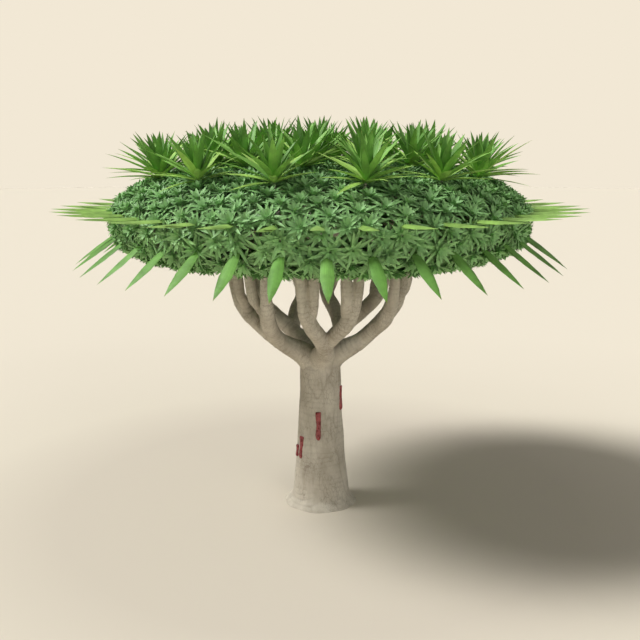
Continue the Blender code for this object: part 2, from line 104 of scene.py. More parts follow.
# Mesh of the trunk and of the skin that covers it and the limbs
TRUNK_SIDES = 64
TRUNK_LEVELS = 60
TRUNK_BELOW = 0.05          # how far the trunk runs under the ground before it is cut flat
TRUNK_ABOVE = 0.16          # how far it runs up into the fork
TRUNK_SHOULDER = 0.04       # how far under the fork it starts to close
TRUNK_UNEVEN = 0.044        # lumps of the trunk, as a share of its radius
LOBE_DEPTH = 0.016          # lobes of the root flare
LOBE_HEIGHT = 0.16
VOXEL = 0.0115
RELAX_FACTOR = 0.5
RELAX_ROUNDS = 6

# Relief of the bark: crack widths are in units of the noise that draws them
TRUNK_SWELL = 0.010
TRUNK_CRACK_DEPTH = 0.007
TRUNK_CRACK_WIDTH = 0.11
WRINKLE_DEPTH = 0.003
WRINKLE_SPACING = 0.075
TRUNK_GRIT = 0.0016
LIMB_SWELL = 0.007
LIMB_CRACK_DEPTH = 0.0025
LIMB_CRACK_WIDTH = 0.10
RING_DEPTH = 0.0036
RING_SPACING = 0.062
LIMB_GRIT = 0.0014
RELIEF_BLEND = (0.05, 0.3)  # the trunk's relief gives way this far under the fork, over this height
ROUTE_SAMPLES = 4           # on each step of a limb, to find how far along it a point is

# ---- Crown: its height from the frame, the rest as in the CAD source -----------------------------
CROWN_LOW, CROWN_HIGH = box_of("foliage_")
CROWN_SHIFT = -0.010        # how far along X the crown's centre stands off the foot
CROWN_RADIUS = 2.80
CROWN_MIDDLE = 4.05         # height of the widest ring
UNDERSIDE = CROWN_LOW.z
DOME_RISE = CROWN_HIGH.z - CROWN_MIDDLE
DOME_POWER = 2.8            # above 2 the dome is flatter on top and fuller at its shoulder
DOME_STATIONS = 24
LOWER_EDGE = ((UNDERSIDE, 2.22), (3.64, 2.51), (3.76, 2.70), (CROWN_MIDDLE, CROWN_RADIUS))
BARE_RADIUS = 1.45          # no rosettes grow on the underside nearer the axis than this
MIDDLE_RADIUS = 0.90 * 0.9  # leaves nearer the axis belong to the middle mass

# Fringes: places are (distance from the axis, height)
RIM_LEAVES = 36
RIM_START = math.radians(-20.5)     # azimuth of the first leaf
RIM_ROOT = (2.55, 4.18)
RIM_TIP = (3.50, 4.205)
RIM_SAG = 0.03
SKIRT_LEAVES = 34
SKIRT_START = math.radians(-30.3)
SKIRT_ROOT = (2.60, 3.92)
SKIRT_TIP = (3.253, 3.435)
SKIRT_SAG = 0.16
FRINGE_WIDTH = 0.158
FRINGE_FAN = ((0.0, 1.0), (-2.8, 0.72), (3.1, 0.68))    # degrees aside, share of the length
FRINGE_LAYER = 0.006        # how far each lies under the one before it
FRINGE_LIFT = 0.006         # how unevenly they rise
FRINGE_ODDS = (0.6, 0.4)    # of each tone

# ---- Rosettes ------------------------------------------------------------------------------------
FILL_SPACING = 0.175        # between rosettes in the crown's surface
FILL_DEPTH = 0.10           # how far their feet lie under it
INNER_SPACING = 0.24        # the same for the layer behind
INNER_DEPTH = 0.26
THROWS = 40                 # places tried for each rosette there could be room for
FILL_LEAVES = 30
INNER_LEAVES = 22
FILL_TILTS = (28.0, 96.0)   # degrees off the rosette's axis, from the youngest leaf to the oldest
INNER_TILTS = (15.0, 105.0)
FILL_LENGTH = 0.30
FILL_LENGTHS = (0.8, 1.05)      # how a rosette's leaves differ from that, and from FILL_WIDTH
FILL_WIDTH = 0.046
FILL_WIDTHS = (0.9, 1.1)
FILL_RECURVE = 0.06
FILL_SAG = 0.03
FILL_UPTURN = 0.25          # how much a rosette turns up from the crown's surface
FILL_MARGIN = (-0.01, 0.05)     # how far leaf tips may stand out of the crown's outline
FILL_ODDS = (0.42, 0.40, 0.18)  # of each tone
SHORTEST_LEAF = 0.10
TRIM_ROUNDS = 12
TRIM_STEP = 0.88
ROSETTE_HEIGHT = 0.06       # how far the youngest leaf's foot stands above the oldest's
ROSETTE_RADIUS = 0.018
TUFT_RINGS = (              # count, distance from the axis, lean outward, reach outward
    (13, 2.12, 0.20, 1.35),
    (12, 1.42, 0.13, 1.0),
    (6, 0.72, 0.07, 0.95),
    (1, 0.0, 0.0, 0.9),
)
TUFT_RING_TURN = 0.21       # how far each ring is turned on, in shares of its spacing
TUFT_SEAT = 0.02            # how deep a tuft's foot lies in the dome
TUFT_LEAVES = 30
TUFT_TILTS = (5.0, 81.0)
TUFT_LENGTH = 0.53          # of the youngest and oldest leaves
TUFT_MID_LENGTH = 0.10      # how much longer the ones between are
TUFT_WIDTH = 0.112
TUFT_BEND = 0.05            # recurve and sag alike
TUFT_TONE_AGES = (0.30, 0.66)   # where mid green turns bright, and bright turns lime

# ---- Branches inside the crown -------------------------------------------------------------------
TIP_RADIUS = 0.017          # half thickness of a branch that carries one rosette
PIPE_POWER = 2.35           # n rosettes need a branch n ** (1 / PIPE_POWER) times as thick
BRANCH_START = 0.05         # how far inside a limb its branches start
LEAVING_PULL = 0.36         # how long a branch keeps its first direction, as a share of its span
ARRIVING_PULL = 0.30        # and how long it has its last
SPLIT = (0.4, 0.6)          # the rosettes that one side of a fork gets
FORK_REACH = (0.40, 0.52)   # how far on the next fork stands, as a share of the way to its rosettes
SHORTEST_BRANCH = 0.10
TWIG_SIDES = 6
BRANCH_SIDES = 8
BRANCH_ROSETTES = 6         # a branch that carries more than this is thick enough for BRANCH_SIDES

# ---- Colours, 0 to 255 ---------------------------------------------------------------------------
BARK_TONES = [(0.30, (178, 170, 154)), (0.52, (199, 191, 175)), (0.72, (214, 207, 191))]
BARK_STAIN = (148, 135, 116)
BARK_CRACK = (118, 107, 91)
# Painted shade, laid into the bark's grooves and cracks where they lie hollow.
BARK_HOLLOW_SHADE = (116, 104, 88)
DRY_TIP = (150, 118, 70)
RESIN_TONES = [(0.35, (112, 30, 34)), (0.65, (158, 58, 58))]
CROWN_GREENS = {
    "crown_leaf_dark": (132, 178, 112),
    "crown_leaf_mid": (139, 185, 117),
    "crown_leaf_light": (146, 191, 122),
}
TUFT_GREENS = {
    "tuft_leaf_mid": (108, 158, 71),
    "tuft_leaf_bright": (130, 180, 84),
    "tuft_leaf_lime": (168, 208, 104),
}
RIM_GREENS = {"rim_leaf": (140, 178, 88), "rim_leaf_pale": (149, 186, 98)}
SKIRT_GREENS = {"skirt_leaf": (105, 153, 70), "skirt_leaf_pale": (114, 162, 78)}
CROWN_VARIATION = 0.08      # how much lighter and darker a leaf gets from place to place
LEAF_VARIATION = 0.12
BACKGROUND = (242, 232, 213)
FLOOR_REACH = 30.0          # metres that the shares below are of
# The floor's colour by distance from the tree: painted shade darkens it near the tree, and far out it
# meets the backdrop's colour.
FLOOR_SHADE_TONES = [
    (0.12, (209, 199, 183)), (0.185, (223, 214, 196)), (0.27, (227, 218, 200)),
    (0.40, (230, 221, 203)),
]

# ---- Stage, light and camera ---------------------------------------------------------------------
STAGE_RADIUS = 90.0
BACKDROP_SHARE = 0.97       # the backdrop cuts the floor off a little inside its edge
KEY_HEADING = (4.02, 0.28, -4.75)
KEY_STRENGTH = 3.4
KEY_SOFTNESS = 19.0         # degrees across
FILL_HEADING = (-0.58, 1.0, -0.28)
FILL_STRENGTH = 0.66
FILL_SOFTNESS = 40.0
SKY_COLOUR = (1.0, 0.98, 0.95, 1.0)
SKY_STRENGTH = 0.25
LENS = 50.0
CAMERA_PLACE = (CROWN_SHIFT, -12.01, 5.075)
CAMERA_DIP = 0.201          # radians under level


# ---- Small helpers -------------------------------------------------------------------------------
def polar(radius, azimuth, height):
    """A point given by its distance from the Z axis, its azimuth from the front, and its height."""
    return Vector((radius * math.sin(azimuth), -radius * math.cos(azimuth), height))


def crown_point(radius, azimuth, height):
    return polar(radius, azimuth, height) + Vector((CROWN_SHIFT, 0.0, 0.0))


def linear(colour):
    """Display colour, 0 to 255, as scene-linear light."""
    shares = [channel / 255.0 for channel in colour]
    return tuple(c / 12.92 if c <= 0.04045 else ((c + 0.055) / 1.055) ** 2.4 for c in shares)


def opaque(colour):
    return (*linear(colour), 1.0)


def unit(vectors):
    return vectors / np.maximum(np.linalg.norm(vectors, axis=-1, keepdims=True), 1e-9)


def mesh_object(name, points, faces, tones=None):
    """A mesh object of points and arrays of faces. tones picks each face's material."""
    mesh = bpy.data.meshes.new(name)
    corners = np.concatenate([rows.ravel() for rows in faces]).astype(np.int32)
    sizes = np.concatenate([np.full(len(rows), rows.shape[1]) for rows in faces])
    mesh.vertices.add(len(points))
    mesh.vertices.foreach_set("co", np.asarray(points, np.float32).ravel())
    mesh.loops.add(len(corners))
    mesh.loops.foreach_set("vertex_index", corners)
    mesh.polygons.add(len(sizes))
    starts = np.concatenate(([0], np.cumsum(sizes)[:-1])).astype(np.int32)
    mesh.polygons.foreach_set("loop_start", starts)
    if tones is not None:
        mesh.polygons.foreach_set("material_index", tones.astype(np.int32))
    mesh.update(calc_edges=True)
    mesh.validate()
    piece = bpy.data.objects.new(name, mesh)
    bpy.context.scene.collection.objects.link(piece)
    return piece


def applied(piece):
    """Applies a piece's modifiers."""
    bpy.context.view_layer.update()
    depsgraph = bpy.context.evaluated_depsgraph_get()
    mesh = bpy.data.meshes.new_from_object(piece.evaluated_get(depsgraph))
    piece.modifiers.clear()
    piece.data = mesh


# ---- Materials -----------------------------------------------------------------------------------
class Nodes:
    """A material's node tree with short calls for adding to it."""

    def __init__(self, name):
        self.material = bpy.data.materials.new(name)
        self.material.use_nodes = True
        self.tree = self.material.node_tree
        self.shader = self.tree.nodes["Principled BSDF"]
        self.place = self.tree.nodes.new("ShaderNodeTexCoord").outputs["Object"]

    def add(self, kind, inputs=(), **settings):
        node = self.tree.nodes.new("ShaderNode" + kind)
        for key, value in settings.items():
            setattr(node, key, value)
        for key, value in dict(inputs).items():
            self.set(node.inputs[key], value)
        return node

    def set(self, socket, value):
        if isinstance(value, bpy.types.NodeSocket):
            self.tree.links.new(value, socket)
        else:
            socket.default_value = value

    def stretched(self, scale):
        return self.add("Mapping", {"Vector": self.place, "Scale": scale}).outputs["Vector"]

    def noise(self, scale, detail=3.0, roughness=0.55, vector=None):
        place = vector or self.place
        inputs = {"Vector": place, "Scale": scale, "Detail": detail, "Roughness": roughness}
        return self.add("TexNoise", inputs).outputs["Fac"]

    def ramp(self, factor, stops):
        """A colour ramp through (place, display colour or grey share) stops."""
        node = self.add("ValToRGB", {"Fac": factor})
        points = node.color_ramp.elements
        while len(points) < len(stops):
            points.new(1.0)
        for point, (place, colour) in zip(points, stops):
            point.position = place
            grey = isinstance(colour, float)
            point.color = (colour, colour, colour, 1.0) if grey else opaque(colour)
        return node.outputs["Color"]

    def mix(self, factor, first, second, blend="MIX"):
        node = self.add("Mix", data_type="RGBA", blend_type=blend)
        self.set(node.inputs["Factor"], factor)
        self.set(node.inputs[6], first)
        self.set(node.inputs[7], second)
        return node.outputs[2]

    def math(self, operation, first, second=0.0):
        node = self.add("Math", operation=operation)
        self.set(node.inputs[0], first)
        self.set(node.inputs[1], second)
        return node.outputs[0]

    def bump(self, height, strength, distance):
        node = self.add("Bump", {"Height": height, "Strength": strength, "Distance": distance})
        self.set(self.shader.inputs["Normal"], node.outputs["Normal"])

    def finish(self, colour, roughness, specular=0.5):
        self.set(self.shader.inputs["Base Color"], colour)
        self.set(self.shader.inputs["Roughness"], roughness)
        self.set(self.shader.inputs["Specular IOR Level"], specular)
        return self.material


def bark_material():
    """Grey-brown bark: pale and stained patches, fine upright cracks, and painted shade that darkens
    its hollows.
    """
    m = Nodes("bark")
    patches = m.noise(2.3, 4.0, 0.6)
    colour = m.ramp(patches, BARK_TONES)
    streaky = m.stretched((1.0, 1.0, 0.35))
    stains = m.ramp(m.noise(7.0, 5.0, 0.65, streaky), [(0.40, 0.0), (0.62, 1.0)])
    colour = m.mix(m.math("MULTIPLY", stains, 0.30), colour, opaque(BARK_STAIN))
    upright = {"Vector": m.stretched((1.0, 1.0, 0.4)), "Scale": 26.0}
    cells = m.add("TexVoronoi", upright, feature="DISTANCE_TO_EDGE")
    cracks = m.ramp(cells.outputs["Distance"], [(0.0, 1.0), (0.07, 0.0)])
    worn = m.ramp(m.noise(3.1, 2.0), [(0.42, 0.0), (0.60, 1.0)])
    cracks = m.math("MULTIPLY", cracks, worn)
    colour = m.mix(m.math("MULTIPLY", cracks, 0.45), colour, opaque(BARK_CRACK))
    # Painted shade: the bark is darkened by how hollow its relief lies there.
    hollow = m.add("Attribute", attribute_name="hollow").outputs["Fac"]
    colour = m.mix(m.math("MULTIPLY", hollow, 0.48), colour, opaque(BARK_HOLLOW_SHADE))
    grain = m.noise(60.0, 4.0, 0.6, m.stretched((1.0, 1.0, 0.6)))
    height = m.math("SUBTRACT", m.math("MULTIPLY", grain, 0.5), m.math("MULTIPLY", cracks, 0.8))
    m.bump(height, 0.55, 0.006)
    return m.finish(colour, m.ramp(grain, [(0.3, 0.72), (0.7, 0.92)]), specular=0.25)


def leaf_material(name, colour, spread):
    """A sword leaf's satin green: veins along the blade, a paler foot and a dry tip."""
    m = Nodes(name)
    light = tuple(min(255.0, channel * (1.0 + spread)) for channel in colour)
    dark = tuple(channel * (1.0 - spread) for channel in colour)
    green = m.ramp(m.noise(5.0, 3.0, 0.6), [(0.34, dark), (0.66, light)])
    blade = m.add("UVMap", uv_map="blade").outputs["UV"]
    lengthwise = m.add("Mapping", {"Vector": blade, "Scale": (9.0, 0.6, 1.0)}).outputs["Vector"]
    veins = m.noise(2.0, 2.0, 0.5, lengthwise)
    green = m.mix(m.ramp(veins, [(0.40, 0.0), (0.62, 0.30)]), green, opaque(dark))
    along = m.add("SeparateXYZ", {"Vector": blade}).outputs["Y"]
    foot = tuple(min(255.0, channel * 1.12 + 10.0) for channel in colour)
    green = m.mix(m.ramp(along, [(0.0, 0.45), (0.22, 0.0)]), green, opaque(foot))
    green = m.mix(m.ramp(along, [(0.93, 0.0), (1.0, 0.6)]), green, opaque(DRY_TIP))
    m.bump(veins, 0.25, 0.002)
    return m.finish(green, m.ramp(veins, [(0.3, 0.44), (0.7, 0.60)]), specular=0.35)


def leaf_materials(greens, spread=LEAF_VARIATION):
    return [leaf_material(name, colour, spread) for name, colour in greens.items()]


def resin_material():
    """Dried resin: deep crimson and glossy, darker in patches."""
    m = Nodes("resin")
    depth = m.noise(24.0, 3.0, 0.6)
    colour = m.ramp(depth, RESIN_TONES)
    m.bump(m.noise(70.0, 3.0), 0.25, 0.003)
    m.set(m.shader.inputs["Coat Weight"], 0.35)
    m.set(m.shader.inputs["Coat Roughness"], 0.15)
    return m.finish(colour, m.ramp(depth, [(0.3, 0.2), (0.7, 0.42)]))


# ---- Trunk and boughs ----------------------------------------------------------------------------
def trunk_axis(height):
    return Vector((TRUNK_LEAN * (height / TRUNK_HEIGHT) ** 3, 0.0, height))


def trunk_radius(height):
    rise = min(max(height, 0.0) / TRUNK_HEIGHT, 1.0)
    radius = TRUNK_TOP_RADIUS + (TRUNK_FOOT_RADIUS - TRUNK_TOP_RADIUS) * (1.0 - rise) ** 2
    flare = min(1.0, max(0.0, 1.0 - height / FLARE_HEIGHT))
    return radius + (FLARE_RADIUS - TRUNK_FOOT_RADIUS) * flare ** 1.4


def knot(place, azimuth, radius):
    """A key of a limb: its place, as (distance from the axis, height), and its half thickness."""
    point = trunk_axis(TRUNK_HEIGHT) + polar(place[0], azimuth, place[1] - TRUNK_HEIGHT)
    return Vector((*point, radius))


def smooth_path(keys):
    """A Catmull-Rom curve through keys that carry the radius as a fourth coordinate."""
    ends = [2 * keys[0] - keys[1]] + keys + [2 * keys[-1] - keys[-2]]
    path = []
    for a, b, c, d in zip(ends, ends[1:], ends[2:], ends[3:]):
        for step in range(ROUTE_STEPS):
            t = step / ROUTE_STEPS
            square = (2 * a - 5 * b + 4 * c - d) * t ** 2
            cube = (3 * b - a - 3 * c + d) * t ** 3
            path.append(0.5 * (2 * b + (c - a) * t + square + cube))
    return path + [keys[-1]]


def crown_end(azimuth, spread):
    """The last two keys of a limb: its bend, and its end inside the crown."""
    return [
        knot(LIMB_BEND, azimuth + spread * BEND_SHARE, BEND_RADIUS),
        knot(LIMB_END, azimuth + spread, LIMB_RADIUS),
    ]


def side_limb(azimuth, spread):
    """The route of a limb that leaves an arm at the second fork."""
    middle = ((SECOND_FORK[0] + LIMB_BEND[0]) / 2, (SECOND_FORK[1] + LIMB_BEND[1]) / 2)
    keys = [
        knot(SIDE_ROOT, azimuth, LIMB_RADIUS),
        knot(middle, azimuth + spread * SIDE_SHARE, LIMB_RADIUS),
    ]
    return smooth_path(keys + crown_end(azimuth, spread * INNER_SPREAD))


def limb_routes():
    """The routes of the five boughs, and of the arms and limbs that fork from them."""
    routes = []
    for index in range(len(BOUGH_NAMES)):
        azimuth = BOUGH_AZIMUTH + math.tau * index / len(BOUGH_NAMES)
        side = 1 if index % 2 else -1
        middle = azimuth + math.radians(BOUGH_TWISTS[index])
        spread = side * math.radians(LIMB_SPREADS[index])
        turn = middle + side * math.radians(ARM_SPREADS[index])
        bough = [
            knot((0.0, TRUNK_HEIGHT - BOUGH_ROOT_DEPTH), azimuth, BOUGH_FOOT_RADIUS),
            knot(BOUGH_FOOT, azimuth, BOUGH_FOOT_RADIUS),
            knot(FIRST_FORK, azimuth, BOUGH_RADIUS),
            knot(SECOND_FORK, turn, ARM_RADIUS),
        ]
        routes.append(smooth_path(bough + crown_end(turn, spread)))
        routes.append(side_limb(turn, -spread))
        turn = middle - side * math.radians(ARM_SPREADS[index])
        arm = [
            knot(ARM_ROOT, azimuth, ARM_ROOT_RADIUS),
            knot(ARM_KEY, azimuth + (turn - azimuth) * ARM_LEAD, ARM_RADIUS),
            knot(SECOND_FORK, turn, ARM_RADIUS),
        ]
        routes.append(smooth_path(arm + crown_end(turn, -spread)))
        routes.append(side_limb(turn, spread))
    return routes


def closed_skin(rings):
    """Points and faces of a closed body through rings of equally many points."""
    sides = len(rings[0])
    points = np.concatenate([*rings, [np.mean(rings[0], axis=0)], [np.mean(rings[-1], axis=0)]])
    here = np.arange(sides)
    after = (here + 1) % sides
    quad = np.stack((here, after, after + sides, here + sides), 1)
    quads = np.concatenate([quad + i * sides for i in range(len(rings) - 1)])
    first = np.full(sides, len(points) - 2)
    last = np.full(sides, len(points) - 1)
    end = (len(rings) - 1) * sides
    foot = np.stack((after, here, first), 1)
    top = np.stack((here + end, after + end, last), 1)
    return points, quads, np.concatenate((foot, top))


def tube(path, sides):
    """A closed tube along a path whose points carry a radius."""
    places = np.array([place[:3] for place in path], float)
    radii = np.array([place[3] for place in path], float)
    along = unit(np.gradient(places, axis=0))
    side = np.array((0.31, 0.22, 0.93))
    angles = np.arange(sides) * math.tau / sides
    rings = []
    for place, radius, tangent in zip(places, radii, along):
        side = unit(side - tangent * (side @ tangent))
        across = np.cross(tangent, side)
        turn = np.outer(np.cos(angles), side) + np.outer(np.sin(angles), across)
        rings.append(place + radius * turn)
    return closed_skin(rings)


def joined_tubes(name, tubes):
    """One mesh object of many tubes."""
    points, quads, caps = [], [], []
    count = 0
    for tube_points, tube_quads, tube_caps in tubes:
        points.append(tube_points)
        quads.append(tube_quads + count)
        caps.append(tube_caps + count)
        count += len(tube_points)
    return mesh_object(name, np.concatenate(points), [np.concatenate(quads), np.concatenate(caps)])


def trunk_body():
    """The trunk as a tube of uneven rings, from just under the ground into the fork."""
    rings = []
    for level in range(TRUNK_LEVELS + 1):
        height = -TRUNK_BELOW + (TRUNK_HEIGHT + TRUNK_ABOVE + TRUNK_BELOW) * level / TRUNK_LEVELS
        closing = (height - TRUNK_HEIGHT + TRUNK_SHOULDER) / (TRUNK_ABOVE + TRUNK_SHOULDER)
        base = trunk_radius(height) * math.sqrt(max(0.02, 1.0 - max(0.0, closing) ** 2))
        flare = math.exp(-max(height, 0.0) / LOBE_HEIGHT)
        ring = []
        for i in range(TRUNK_SIDES):
            angle = math.tau * i / TRUNK_SIDES
            lump = noise.noise(Vector((math.cos(angle) * 1.3, math.sin(angle) * 1.3, height * 2.2)))
            lobes = math.cos(7 * angle + 1.3) * 0.5 + math.cos(4 * angle) * 0.5
            radius = base * (1.0 + TRUNK_UNEVEN * lump) + flare * LOBE_DEPTH * lobes
            ring.append((trunk_axis(height) + polar(radius, angle, 0.0))[:])
        rings.append(np.array(ring))
    return closed_skin(rings)


def grooves(value):
    """Narrow grooves at every whole number of value, from 0 between them to 1 at their bottom."""
    return max(0.0, math.cos(math.tau * value)) ** 3


def trunk_relief(point):
    """How far the trunk's bark stands out, and how hollow it is."""
    swell = noise.noise(point * 2.7) * TRUNK_SWELL
    stretched = Vector((point.x * 9.0, point.y * 9.0, point.z * 2.6))
    plates = abs(noise.noise(stretched + Vector((3.1, 0.0, 0.0))))
    patch = min(1.0, max(0.0, 0.5 + 2.2 * noise.noise(point * 3.7 + Vector((0.0, 5.2, 0.0)))))
    crack = max(0.0, 1.0 - plates / TRUNK_CRACK_WIDTH) * patch
    wander = noise.noise(point * 3.1) * 0.9
    wrinkle = grooves(point.z / WRINKLE_SPACING + wander) * max(0.0, 0.6 + noise.noise(point * 4.0))
    grit = noise.noise(point * 31.0) * TRUNK_GRIT
    relief = swell - TRUNK_CRACK_DEPTH * crack - WRINKLE_DEPTH * wrinkle + grit
    return relief, min(1.0, 0.6 * crack + 0.35 * wrinkle)


def limb_relief(point, along):
    """The same for a limb, with rings along it where leaves once sat."""
    wander = noise.noise(point * 4.0) * 0.6
    ring = grooves(along / RING_SPACING + wander) * max(0.0, 0.75 + noise.noise(point * 5.0))
    swell = noise.noise(point * 6.0) * LIMB_SWELL
    crack = max(0.0, 1.0 - abs(noise.noise(point * 13.0)) / LIMB_CRACK_WIDTH)
    grit = noise.noise(point * 34.0) * LIMB_GRIT
    relief = swell - RING_DEPTH * ring - LIMB_CRACK_DEPTH * crack + grit
    return relief, min(1.0, 0.5 * ring + 0.4 * crack)


def make_bark(routes, material):
    """Trunk and boughs run together into one skin, with the bark's relief."""
    bark = joined_tubes("bark", [trunk_body()] + [tube(route, ROUTE_SIDES) for route in routes])
    remesh = bark.modifiers.new("one_skin", "REMESH")
    remesh.mode = "VOXEL"
    remesh.voxel_size = VOXEL
    relax = bark.modifiers.new("relax", "SMOOTH")
    relax.factor = RELAX_FACTOR
    relax.iterations = RELAX_ROUNDS
    applied(bark)
    carve_bark(bark.data, routes)
    flatten_foot(bark)
    bark.data.shade_smooth()
    bark.data.materials.append(material)
    return bark


def carve_bark(mesh, routes):
    """Moves the skin's points by the bark's relief, and notes how hollow each is."""
    blend_from = TRUNK_HEIGHT - RELIEF_BLEND[0]
    samples = []
    for route in routes:
        run = 0.0
        for before, after in zip(route, route[1:]):
            step = (after - before).to_3d().length
            for part in range(ROUTE_SAMPLES):
                place = before.lerp(after, part / ROUTE_SAMPLES)
                samples.append((place.to_3d(), run + step * part / ROUTE_SAMPLES))
            run += step
    tree = KDTree(len(samples))
    for index, (place, run) in enumerate(samples):
        tree.insert(place, index)
    tree.balance()
    hollow = []
    moves = []
    for vertex in mesh.vertices:
        point = vertex.co
        share = min(1.0, max(0.0, (point.z - blend_from) / RELIEF_BLEND[1]))
        height, depth = trunk_relief(point) if share < 1.0 else (0.0, 0.0)
        if share > 0.0:
            index = tree.find(point)[1]
            limb_height, limb_depth = limb_relief(point, samples[index][1])
            height += (limb_height - height) * share
            depth += (limb_depth - depth) * share
        moves.append(vertex.normal * height)
        hollow.append(depth)
    for vertex, move in zip(mesh.vertices, moves):
        vertex.co += move
    # How hollow each point lies; the bark's material darkens it by this as painted shade.
    mesh.attributes.new("hollow", "FLOAT", "POINT").data.foreach_set("value", hollow)


def flatten_foot(bark):
    """Cuts the trunk flat at the ground."""
    bm = bmesh.new()
    bm.from_mesh(bark.data)
    everything = bm.verts[:] + bm.edges[:] + bm.faces[:]
    bmesh.ops.bisect_plane(
        bm, geom=everything, plane_co=(0, 0, 0), plane_no=(0, 0, -1), clear_outer=True)
    bmesh.ops.holes_fill(bm, edges=[edge for edge in bm.edges if edge.is_boundary], sides=0)
    bm.to_mesh(bark.data)
    bm.free()


# ---- Where the rosettes sit ----------------------------------------------------------------------
def dome_height(radius):
    fall = (radius / CROWN_RADIUS) ** DOME_POWER
    return CROWN_MIDDLE + DOME_RISE * math.sqrt(max(0.0, 1.0 - fall))


def crown_outline(depth):
    """The crown's outline as (radius, height, outward slope) stations, depth under its surface."""
    outline = []
    for i in range(DOME_STATIONS + 1):
        turn = math.pi / 2 * (1.0 - i / DOME_STATIONS)
        radius = CROWN_RADIUS * math.cos(turn) ** (2 / DOME_POWER)
        outline.append((radius, CROWN_MIDDLE + DOME_RISE * math.sin(turn)))
    outline += [(radius, height) for height, radius in reversed(LOWER_EDGE[:-1])]
    outline.append((BARE_RADIUS, UNDERSIDE))
    places = np.array(outline)
    slope = unit(np.gradient(places, axis=0))
    outward = np.stack((-slope[:, 1], slope[:, 0]), 1)
    return places - outward * depth, outward


def scattered(spacing, depth, draw):
    """Feet and axes of rosettes, depth under the crown's surface and spacing apart."""
    places, outward = crown_outline(depth)
    lengths = np.linalg.norm(np.diff(places, axis=0), axis=1)
    areas = lengths * np.maximum(0.5 * (places[1:, 0] + places[:-1, 0]), 0.01)
    share = np.concatenate(([0.0], np.cumsum(areas) / areas.sum()))
    feet, axes = [], []
    for _ in range(int(THROWS * areas.sum() * math.tau / spacing ** 2)):
        pick = draw.random()
        azimuth = draw.uniform(0.0, math.tau)
        radius, height, out, lift = (np.interp(pick, share, row) for row in (*places.T, *outward.T))
        foot = np.array(crown_point(radius, azimuth, height))
        if feet and np.min(np.linalg.norm(np.array(feet) - foot, axis=1)) < spacing:
            continue
        feet.append(foot)
        axes.append(np.array(polar(out, azimuth, lift)))
    return np.array(feet), np.array(axes)


def tuft_places():
    """The tufts on top of the crown, as (foot, axis, outward, reach) rows."""
    rows = []
    for index, (count, radius, tilt, reach) in enumerate(TUFT_RINGS):
        for i in range(count):
            azimuth = math.tau * (i + 0.5 + TUFT_RING_TURN * index) / count
            outward = polar(1.0, azimuth, 0.0)
            axis = (Vector((0.0, 0.0, 1.0)) + outward * tilt).normalized()
            foot = crown_point(radius, azimuth, dome_height(radius) - TUFT_SEAT)
            rows.append((np.array(foot), np.array(axis), np.array(outward), reach))
    return rows


# ---- How the branches grow -----------------------------------------------------------------------
def curve_between(start, start_way, end, end_way, start_radius, end_radius, steps):
    """Points of a limb that leaves start along start_way and reaches end along end_way."""
    span = np.linalg.norm(end - start)
    first = start + start_way * span * LEAVING_PULL
    second = end - end_way * span * ARRIVING_PULL
    path = []
    for step in range(steps + 1):
        t = step / steps
        point = (start * (1 - t) ** 3 + first * 3 * t * (1 - t) ** 2
                 + second * 3 * t * t * (1 - t) + end * t ** 3)
        path.append((*point, start_radius + (end_radius - start_radius) * t))
    return path


def pipe_radius(rosettes):
    return TIP_RADIUS * rosettes ** (1 / PIPE_POWER)


def grow(node, way, feet, axes, draw, tubes):
    """Forks in two again and again until each branch carries one rosette."""
    radius = pipe_radius(len(feet))
    if len(feet) == 1:
        path = curve_between(node, way, feet[0], axes[0], radius * 1.05, radius * 0.95, 3)
        tubes.append(tube(path, TWIG_SIDES))
        return
    offsets = feet - feet.mean(0)
    widest = np.linalg.svd(offsets, full_matrices=False)[2][0]
    order = np.argsort(offsets @ widest)
    cut = min(len(feet) - 1, max(1, round(len(feet) * draw.uniform(*SPLIT))))
    for group in (order[:cut], order[cut:]):
        if len(group) == 1:
            grow(node, way, feet[group], axes[group], draw, tubes)
            continue
        centre = feet[group].mean(0)
        span = np.linalg.norm(centre - node)
        heading = unit(centre - node)
        leaving = unit(way * 0.5 + heading)
        reach = max(SHORTEST_BRANCH, span * draw.uniform(*FORK_REACH))
        child = node + unit(way * 0.22 + heading) * reach
        arriving = unit(heading + (child - node) / max(span, 1e-6) * 0.4)
        child_radius = pipe_radius(len(group))
        start_radius = min(radius * 0.94, child_radius * 1.12)
        path = curve_between(node, leaving, child, arriving, start_radius, child_radius, 4)
        tubes.append(tube(path, BRANCH_SIDES if len(group) > BRANCH_ROSETTES else TWIG_SIDES))
        grow(child, arriving, feet[group], axes[group], draw, tubes)


def make_branches(routes, feet, axes, material, draw):
    """Branches from the top of every limb to the rosettes nearest it."""
    ends = np.array([route[-1][:3] for route in routes])
    ways = unit(np.array([(route[-1] - route[-3])[:3] for route in routes]))
    nearest = np.argmin(np.linalg.norm(feet[:, None] - ends[None], axis=2), axis=1)
    tubes = []
    for index, (end, way) in enumerate(zip(ends, ways)):
        group = np.flatnonzero(nearest == index)
        if len(group):
            grow(end - way * BRANCH_START, way, feet[group], axes[group], draw, tubes)
    branches = joined_tubes("branches", tubes)
    branches.data.shade_smooth()
    branches.data.materials.append(material)
    return branches


# ---- Leaves --------------------------------------------------------------------------------------
# Outlines as (share of the length, share of the width), from the foot up. The tip has no width.
LEAF_SHAPE = ((0.0, 0.50), (0.30, 1.0), (0.70, 0.66))
TUFT_SHAPE = ((0.0, 0.46), (0.16, 0.84), (0.36, 1.0), (0.62, 0.76), (0.84, 0.36))
FRINGE_SHAPE = ((0.0, 0.40), (0.32, 0.86), (0.56, 1.0), (0.80, 0.58))
FOLD = 0.42                 # how far the edges stand above the midrib, as a share of half the width
FRINGE_FOLD = -0.45         # the edges of a fringe's leaves hang below it


